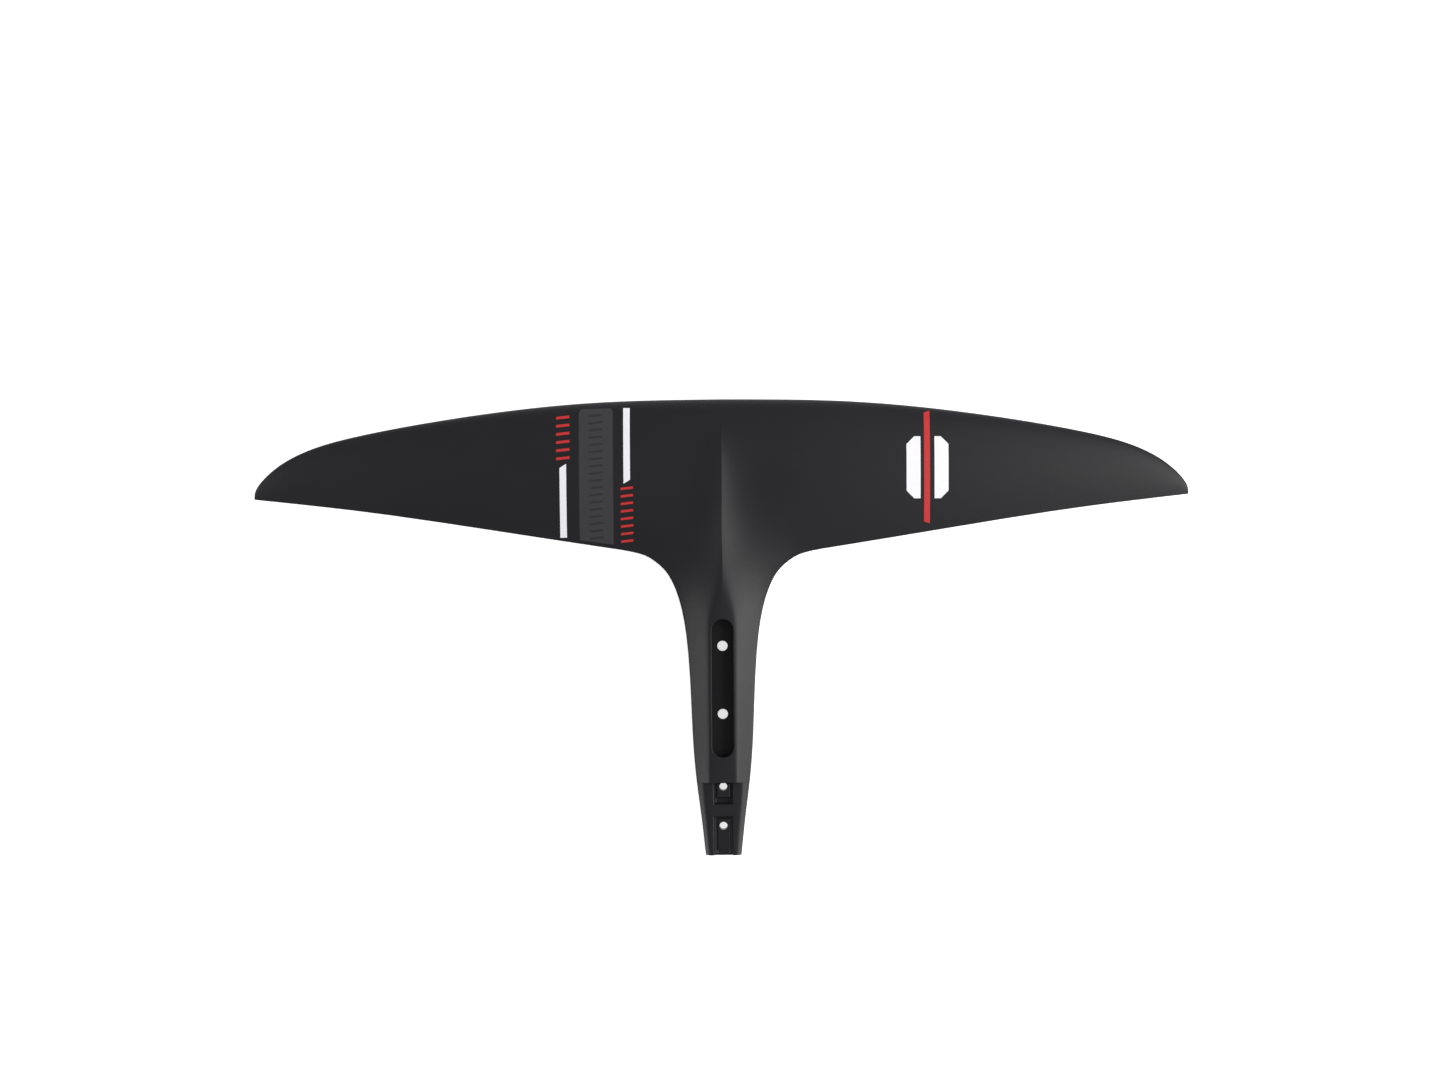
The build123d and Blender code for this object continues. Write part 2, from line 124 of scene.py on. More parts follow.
lead_curve = smooth_curve([root_of(HALF_SPAN - out) for out in LEAD_OUT[::-1]], LEAD_BACK[::-1])
trail_curve = smooth_curve(TRAIL_OUT, TRAIL_BACK)
flare_roots = [float(root_of(behind)) for behind in FLARE_BEHIND]
flare_curve = smooth_curve(
    [-root for root in flare_roots[:0:-1]] + flare_roots, FLARE_HALF[:0:-1] + FLARE_HALF
)


def lead_back(out):
    """Distance back of the leading edge, read at the root of the distance from the tip."""
    return lead_curve(root_of(HALF_SPAN - out))


def half_width(back):
    """Half width of flare and stub, read at the root of the distance from the corner."""
    return flare_curve(root_of(np.clip(back - CORNER_BACK, 0, FLARE_BEHIND[-1])))


table_back = CORNER_BACK + np.linspace(0.0, FLARE_BEHIND[-1], 3000)
table_half = half_width(table_back)


def rear_outline(out):
    """Distance back of the rear outline: trailing edge outside, flare and stub inside."""
    inner = np.interp(-out, -table_half, table_back)
    past_end = table_back[-1] + TAIL_END_SLOPE * (table_half[-1] - out)
    inner = np.where(out < table_half[-1], past_end, inner)
    return np.where(out >= ROOT_JOIN, trail_curve(out), inner)


print("span", 2 * HALF_SPAN, "mm, root chord", round(float(trail_curve(ROOT_JOIN)), 1), "mm")

# %% [markdown]
# ## The heights
# The skins are height fields over the plan. The wing's section rises quickly behind the leading
# edge and closes along the trailing edge. On the centreline a sharp ridge grows out of it, and turns
# into the straight flanks of the stub. The flat crown is the level at which the ridge is cut off,
# with a small rounding where flank and crown meet.

# %% Height formulas
RIDGE_BACK = [0.0, 18.0, 40.0, 60.0, 80.0, 100.0, 120.0, 146.0, 175.0, 200.0]
RIDGE_RISE = [0.0, 0.0, 2.1, 4.2, 6.4, 8.9, 11.4, 14.4, 16.5, 18.0]
SEAM_Z = 0.0
CROWN_Z = 15.0
CROWN_HALF = 12.5
TONGUE_Z = 7.3
TONGUE_BACK = 327.8
ROOF_FRONT_BACK = 136.0
CROWN_ROUNDING = 2.0
TIP_DROP = 15.2
RIM = 0.4
CAMBER = 0.074
NOSE_STEEPNESS = 1.6
TAIL_SHARE = 0.55
SECTION_HEIGHT = 2.97
TRAIL_ROUNDING = 160.0
WAIST_OUT = 50.0
FLANK_ROUNDING = 16.0
RIDGE_ROUNDING = 0.004
RIDGE_SPREADS = (9.0, 24.0)
CROWN_BACKS = (150.0, 345.0)
ridge_curve = smooth_curve(RIDGE_BACK, RIDGE_RISE)


def seam_z(out):
    """Height of the seam between the skins: the tips droop."""
    across = out / HALF_SPAN
    return SEAM_Z - TIP_DROP * (0.75 * across**2 + 0.25 * across**4)


def soft_positive(value, rounding):
    """The value where it is positive, going smoothly to zero."""
    return (value + np.sqrt(value * value + rounding)) / 2


def section(out, back, rear_distance):
    """Section shape: hyperbolic tangents of the distance from the front and from the rear."""
    chord = trail_curve(out) - lead_back(out)
    front = np.tanh(NOSE_STEEPNESS * root_of((back - lead_back(out)) / chord))
    rear = TAIL_SHARE * np.tanh(rear_distance / chord / TAIL_SHARE)
    return SECTION_HEIGHT * front * rear


def wing_rise(out, back):
    """Height of the wing's own section, which closes along the trailing edge under the stub too."""
    inner = np.clip(1 - (out / ROOT_JOIN) ** 2, 0, 1) ** 2
    rear_distance = soft_positive(trail_curve(out) - back, TRAIL_ROUNDING * inner)
    waist = 1 - 0.5 * ease(back, 20, 120) * np.exp(-((out / WAIST_OUT) ** 2))
    chord = trail_curve(out) - lead_back(out)
    return CAMBER * chord * waist * section(out, back, rear_distance)


def roof(out, back):
    """Straight flank: 1 on the centreline, 0 at the side of the stub."""
    held = ROOF_FRONT_BACK + soft_positive(back - ROOF_FRONT_BACK, FLANK_ROUNDING)
    return soft_positive(1 - out / half_width(held), RIDGE_ROUNDING)


def raw_top(out, back):
    """Upper skin before it is cut flat: seam, wing section and the ridge that becomes the crown."""
    along = ease(back, 95, 185)
    spread = RIDGE_SPREADS[0] + (RIDGE_SPREADS[1] - RIDGE_SPREADS[0]) * ease(back, 20, 125)
    ridge = (1 - along) * np.exp(-out / spread) + along * roof(out, back)
    full = ease(back, 145, 205)
    sharp = np.maximum(ridge_curve(np.minimum(back, RIDGE_BACK[-1])), 0.0)
    held = np.clip(back, *CROWN_BACKS)
    crown = CROWN_Z - SEAM_Z - RIM - wing_rise(CROWN_HALF + 0 * held, held)
    crown = crown / roof(CROWN_HALF, held)
    rise = (1 - full) * sharp + full * crown
    return seam_z(out) + RIM + wing_rise(out, back) + rise * ridge


def soft_least(a, b, rounding):
    """The lower of two heights, with their corner rounded."""
    return (a + b - np.sqrt((a - b) ** 2 + rounding**2)) / 2


def top_height(out, back, level=CROWN_Z):
    """Upper skin with everything over a level cut off."""
    return soft_least(raw_top(out, back), level, CROWN_ROUNDING)


ridge_places = np.array([20.0, 60.0, 100.0, 140.0, 200.0])
print("height along the ridge:", np.round(top_height(0 * ridge_places, ridge_places), 1))

# %% [markdown]
# ## From arrays to a closed skin
# A skin is a sheet with a top and an underside. We compute the top as whole arrays, one patch
# after another, and mirror each patch for the left wing. Points that two patches share are then
# welded. An edge that belongs to only one face is a free edge, so that is where a wall is drawn
# down to the underside. The same few lines close the outline, the socket and every recess.

# %% Helpers that weld, thicken and show
MM = 0.001


def grid_faces(rows, columns, offset=0):
    """Quads of a grid, wound so that their outside is up when rows run back and columns run out."""
    index = offset + np.arange(rows * columns).reshape(rows, columns)
    a, b = index[:-1, :-1], index[1:, :-1]
    c, d = index[1:, 1:], index[:-1, 1:]
    return np.stack([a, b, c, d], -1).reshape(-1, 4)


def mirrored(patches):
    """Each patch (points, underside heights, quads) with its mirror image across X = 0."""
    both = []
    for points, under, quads in patches:
        both.append((points, under, quads))
        both.append((points * np.array([-1.0, 1.0, 1.0]), under, quads[:, ::-1]))
    return both


def weld(patches):
    """Joins patches into one sheet: points closer than a hundredth of a micron become one."""
    points = np.concatenate([patch[0] for patch in patches])
    under = np.concatenate([patch[1] for patch in patches])
    shifts = np.cumsum([0] + [len(patch[0]) for patch in patches[:-1]])
    quads = np.concatenate([patch[2] + shift for patch, shift in zip(patches, shifts)])
    keys = np.round(points * 1e5).astype(np.int64)
    _, first, same = np.unique(keys, axis=0, return_index=True, return_inverse=True)
    quads = same.reshape(-1)[quads]
    whole = (quads[:, 0] != quads[:, 1]) & (quads[:, 1] != quads[:, 2])
    whole &= (quads[:, 2] != quads[:, 3]) & (quads[:, 3] != quads[:, 0])
    return points[first], under[first], quads[whole]


def free_edges(quads):
    """Directed edges that no neighbouring face runs the other way."""
    edges = np.concatenate([quads[:, [k, (k + 1) % 4]] for k in range(4)])
    codes = edges[:, 0] * (quads.max() + 1) + edges[:, 1]
    back_codes = edges[:, 1] * (quads.max() + 1) + edges[:, 0]
    return edges[~np.isin(codes, back_codes)]


def thicken(points, under, quads):
    """Adds the underside at its own height, and a wall along every free edge."""
    count = len(points)
    low = points.copy()
    low[:, 2] = under
    edges = free_edges(quads)
    walls = np.stack([edges[:, 1], edges[:, 0], edges[:, 0] + count, edges[:, 1] + count], 1)
    return np.concatenate([points, low]), np.concatenate([quads, quads[:, ::-1] + count, walls])


def make_piece(name, points, faces, crease=35.0):
    """Mesh object at the origin from arrays in millimetres, smooth except over sharp creases."""
    mesh = bpy.data.meshes.new(name)
    mesh.from_pydata((points * MM).tolist(), [], faces.tolist())
    mesh.validate()
    mesh.shade_smooth()
    mesh.set_sharp_from_angle(angle=math.radians(crease))
    piece = bpy.data.objects.new(name, mesh)
    bpy.context.scene.collection.objects.link(piece)
    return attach(piece, "root")


# %% [markdown]
# ## Across the stub
# Every row of the stub's grid has the same number of lines. Lines crowd where the shape turns
# quickly: at the socket's rim, at the pocket walls and at the edges of the crown. In the rows
# that cross the socket the innermost line follows the socket's outline, a stadium: two half
# circles joined by straight sides.

# %% Lines across a row
SOCKET_FRONT = 188.3
SOCKET_REAR = 306.1
SOCKET_R = 9.3
POCKET_HALF = 8.1
FRONT_POCKET_END = 346.3
REAR_POCKET_START = 357.1
WELL_BACK = 341.2
FRONT_PAD_BACKS = (328.6, 341.0)
REAR_PAD_BACKS = (358.6, 386.0)
PAD_HALF = 5.75
LIP_R = 0.8
FLOOR_DROP = 3.95
WELL_DROP = 2.2
WALL_OFFSET = 0.3
WALL_WIDTH = 0.3
STUB_TURN = 9.5
INNER_LINES = np.array(
    [0, 0.4, 0.8, 1.2, 2, 3, 4, 5, 5.75, 6.3, 7, 7.5, 7.65, 7.8, 7.95, 8.1, 8.25, 8.4, 8.6, 9, 9.5]
)
OUTER_SHARES = np.concatenate([np.linspace(0, 0.42, 25)[1:], np.linspace(0.42, 1, 26)[1:]])


def socket_edge(back):
    """Half width of the stadium at each distance back; zero outside it."""
    middle = (SOCKET_FRONT + SOCKET_REAR) / 2
    past = np.maximum(np.abs(back - middle) - (SOCKET_REAR - SOCKET_FRONT) / 2 + SOCKET_R, 0)
    return root_of(SOCKET_R**2 - np.minimum(past, SOCKET_R) ** 2)


def from_socket(out, back):
    """Distance from the stadium's outline."""
    middle = (SOCKET_FRONT + SOCKET_REAR) / 2
    past = np.maximum(np.abs(back - middle) - (SOCKET_REAR - SOCKET_FRONT) / 2 + SOCKET_R, 0)
    return np.hypot(out, past) - SOCKET_R


def across_lines(edge, half):
    """Distances out of one row's points, from the inner edge to the rear outline."""
    turn = np.maximum(STUB_TURN, edge + 1.2)
    inner = edge + (turn - edge) * INNER_LINES[None, :] / INNER_LINES[-1]
    outer = turn + (half - turn) * OUTER_SHARES[None, :]
    return np.concatenate([inner, outer], 1)


def round_over(distance, radius):
    """Drop of a quarter-round edge at a distance from it."""
    d = np.clip(distance, 0, radius)
    return radius - np.sqrt(radius**2 - (radius - d) ** 2)


def step_up(value, at, width=0.5):
    """Smooth wall: 0 before the place, 1 after it, as the cubic 3 t t - 2 t t t between."""
    t = np.clip((value - at) / width + 0.5, 0, 1)
    return t * t * (3 - 2 * t)


def pocket_drop(out, back):
    """Two recesses in the tail with soft lips; the front one has a deeper well behind its pad.

    The walls stand a little inside those of the solid filling, so that no two faces coincide.
    """
    front_gap = np.maximum(out - POCKET_HALF, back - FRONT_POCKET_END)
    rear_gap = np.maximum(out - POCKET_HALF, REAR_POCKET_START - back)
    front_depth = FLOOR_DROP + WELL_DROP * step_up(back, WELL_BACK)
    drop = np.zeros_like(back)
    for gap, depth in ((front_gap, front_depth), (rear_gap, FLOOR_DROP)):
        lip = np.where(gap > 0, round_over(gap, LIP_R), LIP_R)
        wall = depth * (1 - step_up(gap, -WALL_OFFSET, WALL_WIDTH))
        drop = np.maximum(drop, np.maximum(lip, wall))
    return drop


print("points in a row:", len(INNER_LINES) + len(OUTER_SHARES))

# %% [markdown]
# ## The upper skin
# Three patches make the right half: the wing outside the root, the root itself, and the flare
# with the stub. The row at the step of the tail is used twice, once at the height of the crown
# and once at the height of the tongue, so the wall of the step is just one more strip of the grid.
# The pads in the pockets are separate pieces, so the sheet is left open under them.

# %% Build the upper skin
SKIN = 1.6
CHORD_SHARES = np.linspace(0, 1, 72) ** 2
WING_SHARES = np.linspace(0, 1, 190)
FULL_TAIL_BACK = 319.8
EDGE_ROUNDING = 0.7


def wing_points(out, back):
    """Top points and underside heights, a skin's thickness lower but never past the seam."""
    top = top_height(out, back)
    under = np.maximum(top - SKIN, seam_z(out))
    points = np.stack([out, NOSE_Y - back, top], -1).reshape(-1, 3)
    return points, under.reshape(-1)


def wing_patch():
    """Wing outside the root: rows run from leading to trailing edge, crowded at the front."""
    share = 1 - 0.9 * (1 - WING_SHARES) ** 2 - 0.1 * (1 - WING_SHARES)
    out = ROOT_JOIN + (HALF_SPAN - ROOT_JOIN) * share
    out = out[None, :] + 0 * CHORD_SHARES[:, None]
    back = lead_back(out) + (rear_outline(out) - lead_back(out)) * CHORD_SHARES[:, None]
    points, under = wing_points(out, back)
    return points, under, grid_faces(*out.shape)


def root_patch():
    """Root in front of the corner where the flare begins, on the same lines as the stub."""
    out = across_lines(np.zeros((1, 1)), np.full((1, 1), ROOT_JOIN)) + 0 * CHORD_SHARES[:, None]
    back = lead_back(out) + (CORNER_BACK - lead_back(out)) * CHORD_SHARES[:, None]
    points, under = wing_points(out, back)
    return points, under, grid_faces(*out.shape)


def stub_rows():
    """Distances back of the rows, crowded at the flare, the socket ends, the step and the walls."""
    flare = CORNER_BACK + 58.7 * np.linspace(0, 1, 46) ** 2
    edge = [187.6, 187.9, 188.1]
    arc = SOCKET_R * (1 - np.cos(np.linspace(0, np.pi / 2, 22)))
    straight = np.linspace(SOCKET_FRONT + SOCKET_R, SOCKET_REAR - SOCKET_R, 60)[1:-1]
    behind_socket = [306.3, 306.5, 306.8, 307.2]
    to_step = np.linspace(308, 326.8, 18)
    step = [327.0, 327.2, 327.4, 327.6, 327.7, TONGUE_BACK]
    front_pocket = [TONGUE_BACK, 328.6, 329.4, 330.5, 333, 336, 339, 340.6, 341]
    well = [341.1, 341.2, 341.3, 341.45, 342, 344, 345.6, 345.95, 346.05, 346.15, 346.3]
    bridge = [346.4, 346.55, 346.8, 347.1, 348, 350, 353, 355.5, 356.3, 356.6, 356.85, 357.0]
    rear_pocket = [357.1, 357.25, 357.35, 357.45, 358.0, 358.6]
    end = [387.5, 389, LENGTH]
    tail = [front_pocket, well, bridge, rear_pocket, np.linspace(361, 386, 11), end]
    before = [flare, edge, SOCKET_FRONT + arc, straight, SOCKET_REAR - arc[::-1], behind_socket]
    rows = np.concatenate(before + [to_step, step] + tail)
    is_tail = np.arange(len(rows)) >= len(rows) - sum(len(group) for group in tail)
    return rows, is_tail


def stub_patch():
    """Flare, stub and tail: the crown or tongue cut flat, its edges rounded and its pockets sunk."""
    rows, is_tail = stub_rows()
    back = rows[:, None]
    out = across_lines(socket_edge(back), half_width(back))
    back = back + 0 * out
    tail = is_tail[:, None] & (out >= 0)
    top = top_height(out, back, np.where(tail, TONGUE_Z, CROWN_Z))
    socket_rim = round_over(from_socket(out, back), EDGE_ROUNDING)
    step_rim = round_over(TONGUE_BACK - back, EDGE_ROUNDING)
    top = top - np.where(tail, pocket_drop(out, back), socket_rim + step_rim)
    # behind this place the skin is drawn solid down to the seam, so that the step's wall is closed
    under = np.where(back > FULL_TAIL_BACK, seam_z(out), np.maximum(top - SKIN, seam_z(out)))
    points = np.stack([out, NOSE_Y - back, top], -1).reshape(-1, 3)
    quads = grid_faces(*out.shape)
    centre = points[quads].mean(1)
    behind = NOSE_Y - centre[:, 1]
    in_pad = np.zeros(len(quads), bool)
    for pad_front, pad_rear in (FRONT_PAD_BACKS, REAR_PAD_BACKS):
        in_pad |= (behind > pad_front) & (behind < pad_rear)
    in_pad &= centre[:, 0] < PAD_HALF
    return points, under.reshape(-1), quads[~in_pad]


sheet = weld(mirrored([wing_patch(), root_patch(), stub_patch()]))
upper = make_piece("upper_skin_moulded", *thicken(*sheet))
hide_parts("upper_skin")
print("upper skin:", len(upper.data.polygons), "faces")
print("upper skin size:", [round(d, 4) for d in upper.dimensions])

# %% [markdown]
# ## The two pads
# Each tail bolt passes through a pad that carries the rear fuselage. A pad is a rectangle with a
# round hole, so its grid is made of rays: they start on the hole and end on the rectangle, and one
# ray goes to each corner. Near the rectangle the height falls along a quarter circle, which gives
# the soft edge that a moulded pad has.

# %% Build the pads
TAIL_HOLE_R = 3.4
PAD_BOTTOM = 1.3
PAD_EDGE_R = 0.9
HOLE_EDGE_R = 0.3


def pad_piece(name, node, half, backs, hole_back, top):
    """Rays from the hole to the rectangle; height falls by a quarter round near the outside."""
    front, rear = hole_back - backs[0], backs[1] - hole_back
    corners = [math.atan2(end, side) for end in (front, -rear) for side in (half, -half)]
    angles = np.unique(np.concatenate([np.linspace(-math.pi, math.pi, 121), corners]))
    across, along = np.cos(angles), np.sin(angles)
    to_side = half / np.maximum(np.abs(across), 1e-9)
    to_end = np.where(along > 0, front, rear) / np.maximum(np.abs(along), 1e-9)
    reach = np.minimum(to_side, to_end)
    share = 1 - np.linspace(1, 0, 30)[:, None] ** 2
    ray = TAIL_HOLE_R + (reach - TAIL_HOLE_R)[None, :] * share
    x, y = ray * across, ray * along
    gap = np.minimum(half - np.abs(x), np.minimum(front - y, rear + y))
    z = top - round_over(gap, PAD_EDGE_R) - round_over(ray - TAIL_HOLE_R, HOLE_EDGE_R)
    points = np.stack([x, NOSE_Y - hole_back + y, z], -1).reshape(-1, 3)
    faces = grid_faces(*ray.shape)[:, ::-1]
    piece = make_piece(name, *thicken(*weld([(points, np.full(len(points), PAD_BOTTOM), faces)])))
    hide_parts(node)
    return piece


pads = [
    pad_piece("pad_front", "tail_pad_front", PAD_HALF, FRONT_PAD_BACKS, 331.7, 5.3),
    pad_piece("pad_rear", "tail_pad_rear", 5.5, REAR_PAD_BACKS, 365.2, 4.5),
]
print("pads:", [len(pad.data.polygons) for pad in pads])

# %% [markdown]
# ## Printed marks
# The stripes, the panel and the dashes are transfers under a thin clear film, four hundredths of
# a millimetre proud of the skin, and twice that where dashes lie on the panel. Each is a sheet
# over the same height formula, so it follows the curve of the wing exactly. A mark is given by
# its two sides and by how far its front and rear ends lie back, which may slant or have cut
# corners.

# %% Build the printed marks
INK_PROUD = 0.04
SECOND_INK_PROUD = 0.08


def mark_patch(left, right, front, rear, columns=14, rows=60, proud=INK_PROUD):
    """Sheet over the skin's height formula; front and rear are functions of the place across."""
    across = np.linspace(0, 1, columns)
    x = (left + (right - left) * across)[None, :] + np.zeros((rows, 1))
    share = np.linspace(0, 1, rows)[:, None]
    ahead = np.asarray([front(a) for a in across])[None, :]
    behind = np.asarray([rear(a) for a in across])[None, :]
    back = ahead + (behind - ahead) * share
    top = top_height(np.abs(x), back) + proud
    points = np.stack([x, NOSE_Y - back, top], -1).reshape(-1, 3)
    return points, top.reshape(-1) - 3 * proud, grid_faces(rows, columns)


def slanted(start, slant):
    """End of a mark whose left corner lies further back than its right corner."""
    return lambda across: start + slant * (1 - across)


def through(places, backs):
    """End of a mark drawn as straight lines through a few points."""
    return lambda across: float(np.interp(across, places, backs))


def add_mark(name, node, patches):
    """One visible mark from its patches, in place of a node of the frame."""
    piece = make_piece(name, *thicken(*weld(patches)))
    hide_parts(node)
    return piece


def bar(left, right, front, rear, slants=(0.0, 0.0), proud=INK_PROUD):
    """Bar along the chord, each end with its own slant."""
    ends = slanted(front, slants[0]), slanted(rear, slants[1])
    return mark_patch(left, right, *ends, proud=proud)


def dash_row(left, right, front, rear, count, proud=INK_PROUD):
    """Equal slanted dashes, where the real wing has lettering; half of each step is filled."""
    filled, slant = 0.5, 1.2
    pitch = (rear - front) / (count - 1 + filled)
    starts = front + pitch * np.arange(count)
    ends = starts + filled * pitch - slant
    return [bar(left, right, s, e, (slant, slant), proud) for s, e in zip(starts, ends)]


EMBLEM_BACKS = (33.0, 86.0)
CUT_SHARE = 0.55


def emblem_half(inner, outer):
    """Block beside the red bar, its two outer corners cut off."""
    left, right = min(inner, outer), max(inner, outer)
    cut = CUT_SHARE * (right - left)
    places = [0.0, CUT_SHARE if outer < inner else 1 - CUT_SHARE, 1.0]
    front = [EMBLEM_BACKS[0] + cut, EMBLEM_BACKS[0], EMBLEM_BACKS[0]]
    rear = [EMBLEM_BACKS[1] - cut, EMBLEM_BACKS[1], EMBLEM_BACKS[1]]
    if outer > inner:
        front, rear = front[::-1], rear[::-1]
    return mark_patch(left, right, through(places, front), through(places, rear), columns=41)


def panel():
    """Grey panel with small cut corners at its front and a slanting rear end."""
    left, right = -121.6, -92.5
    corners = (-119.2, -94.8)
    places = [0.0] + [(corner - left) / (right - left) for corner in corners] + [1.0]
    front = through(places, [10.6, 7.9, 7.3, 9.6])
    return mark_patch(left, right, front, slanted(124.0, -4.0), columns=60, rows=120)


WHITE_BARS = {
    "stripe_outer": ("outer_white_stripe", [bar(-138.3, -132.6, 54.6, 117.8, (3.6, 0.0))]),
    "stripe_inner": ("inner_white_stripe", [bar(-83.6, -78.0, 7.2, 68.6, (0.0, 3.4))]),
    "emblem_block_left": ("emblem_left", [emblem_half(170.4, 158.4)]),
    "emblem_block_right": ("emblem_right", [emblem_half(182.4, 194.4)]),
}
RED_BARS = {
    "dashes_size": ("size_marks", dash_row(-141.0, -129.6, 13.2, 51.6, 6)),
    "dashes_name": ("name_marks", dash_row(-86.2, -75.6, 74.2, 122.6, 8)),
    "bar_red": ("red_bar", [bar(173.5, 178.5, 11.0, 107.4, (1.6, -1.6))]),
}
marks = {}
for slot_name, group in (("white_print", WHITE_BARS), ("red_print", RED_BARS)):
    for name, (node, patches) in group.items():
        marks[name] = add_mark(name, node, patches)
marks["panel_grey"] = add_mark("panel_grey", "name_panel", [panel()])
panel_dashes = dash_row(-113.2, -101.4, 12.0, 119.8, 18, SECOND_INK_PROUD)
marks["dashes_panel"] = add_mark("dashes_panel", "panel_marks", panel_dashes)
print("marks:", sorted(marks))

# %% [markdown]
# ## Finishes
# Everything here is a small sum of noises. A wrapper lets us write those sums as ordinary
# arithmetic: each operator adds one Math node. Object coordinates are metres, so a grain of
# 0.3 mm is a noise of scale 3000.

# %% Shader arithmetic
class Field:
    """A number that varies over a surface; arithmetic on it builds shader nodes."""

    def __init__(self, tree, socket):
        self.tree = tree
        self.socket = socket

    def feed(self, target):
        """Links the number into a socket."""
        self.tree.links.new(self.socket, target)

    def math(self, operation, *others, clamp=False):
        """One Math node on this number and others, which may be numbers or fields."""
        node = self.tree.nodes.new("ShaderNodeMath")
        node.operation = operation
        node.use_clamp = clamp
        for target, value in zip(node.inputs, (self,) + others):
            if isinstance(value, Field):
                value.feed(target)
            else:
                target.default_value = value
        return Field(self.tree, node.outputs[0])

    def __add__(self, other):
        return self.math("ADD", other)

    def __radd__(self, other):
        return self.math("ADD", other)

    def __sub__(self, other):
        return self.math("SUBTRACT", other)

    def __mul__(self, other):
        return self.math("MULTIPLY", other)

    def __rmul__(self, other):
        return self.math("MULTIPLY", other)

    def held(self):
        """The value kept between 0 and 1."""
        return self.math("ADD", 0.0, clamp=True)

    def over(self, level, width):
        """0 below a level and 1 above it, with a soft edge."""
        return ((self - level) * (1.0 / width) + 0.5).held()


class Finish:
    """One material with one Principled shader; its methods add textures and feed its sockets."""

    def __init__(self, name, **constants):
        self.material = bpy.data.materials.new(name)
        self.material.use_nodes = True
        self.tree = self.material.node_tree
        self.shader = self.tree.nodes["Principled BSDF"]
        self.place = self.tree.nodes.new("ShaderNodeTexCoord").outputs["Object"]
        for socket, value in constants.items():
            self.shader.inputs[socket.replace("_", " ")].default_value = value

    def node(self, kind, settings=None, **inputs):
        """A new node with its settings and inputs, which may be constants, sockets or fields."""
        made = self.tree.nodes.new(kind)
        for key, value in (settings or {}).items():
            setattr(made, key, value)
        for key, value in inputs.items():
            target = made.inputs[key]
            if isinstance(value, Field):
                value.feed(target)
            elif isinstance(value, bpy.types.NodeSocket):
                self.tree.links.new(value, target)
            else:
                target.default_value = value
        return made

    def noise(self, scale, detail=3.0, stretch=(1, 1, 1), turn=0.0):
        """Even noise between 0 and 1; the stretch draws it out along an axis."""
        turned = (0, 0, turn)
        mapping = self.node("ShaderNodeMapping", Vector=self.place, Scale=stretch, Rotation=turned)
        place = mapping.outputs[0]
        made = self.node("ShaderNodeTexNoise", Vector=place, Scale=scale, Detail=detail)
        return Field(self.tree, made.outputs[0])

    def colour(self, amount, low, high):
        """Feeds Base Color with a mix of two colours."""
        mix = self.node("ShaderNodeMix", {"data_type": "RGBA"})
        amount.held().feed(mix.inputs[0])
        mix.inputs[6].default_value = (*low, 1)
        mix.inputs[7].default_value = (*high, 1)
        self.tree.links.new(mix.outputs[2], self.shader.inputs["Base Color"])

    def roughness(self, value):
        """Feeds Roughness, kept between 0 and 1."""
        value.held().feed(self.shader.inputs["Roughness"])

    def bump(self, height, distance):
        """Fine relief; the distance is the depth in metres at height 1."""
        made = self.node("ShaderNodeBump", Strength=1.0, Distance=distance)
        height.feed(made.inputs["Height"])
        self.tree.links.new(made.outputs[0], self.shader.inputs["Normal"])


# %% [markdown]
# ## Satin black carbon
# The wing leaves its mould with a satin surface and is rubbed down by hand. That leaves a grain
# too fine to see singly, a faint cloudiness, hairline scratches along the rubbing, and now and
# then a speck of dust under the lacquer. All of it is small: the eye reads it in the sheen.

# %% Skin, box and pads
def black_laminate(name, low, high, gloss=0.47, depth=1.0):
    """Satin black lacquer: cloudiness, weave, grain, hairline scratches and dust."""
    made = Finish(name, Specular_IOR_Level=0.33)
    cloud = made.noise(14.0, 4.0)
    grain = made.noise(2600.0, 2.0)
    weave = made.noise(420.0, 2.0, stretch=(0.12, 1, 1), turn=0.35)
    rub = made.noise(900.0, 1.0, stretch=(0.02, 1, 1), turn=0.18)
    dust = made.noise(1500.0, 0.0).over(0.83, 0.02)
    made.colour(0.45 * cloud + 0.35 * weave + 0.2 * grain + 0.6 * dust, low, high)
    scratches = rub.over(0.66, 0.08)
    uneven = 0.05 * (cloud - 0.5) + 0.05 * (grain - 0.5)
    made.roughness(gloss + uneven + 0.05 * scratches + 0.1 * dust)
    made.bump(0.6 * grain + 0.4 * weave + 0.15 * cloud, depth * 0.00002)
    return made.material


skin_look = black_laminate(
    "satin_black_carbon", (0.0056, 0.0052, 0.0062), (0.0084, 0.0079, 0.0092)
)
# The socket's laminate is the skin's black made darker: painted shade inside the socket.
socket_look_painted_shade = black_laminate(
    "black_socket_laminate_painted_shade", (0.0045, 0.004, 0.0044), (0.0075, 0.0068, 0.0074), 0.5, 2.0
)
pad_look = black_laminate(
    "black_pad_laminate", (0.0054, 0.0052, 0.0056), (0.0084, 0.008, 0.0086), 0.44
)
print("laminates:", skin_look.name, socket_look_painted_shade.name, pad_look.name)

# %% [markdown]
# ## Inks and metal
# Ink lies on the lacquer a little unevenly: the colour pools very slightly and the surface keeps
# the grain of the lacquer beneath. The bolt seats are turned from aluminium and anodised dark,
# so fine marks run round the bolt, drawn out level, and worn places are a little paler.

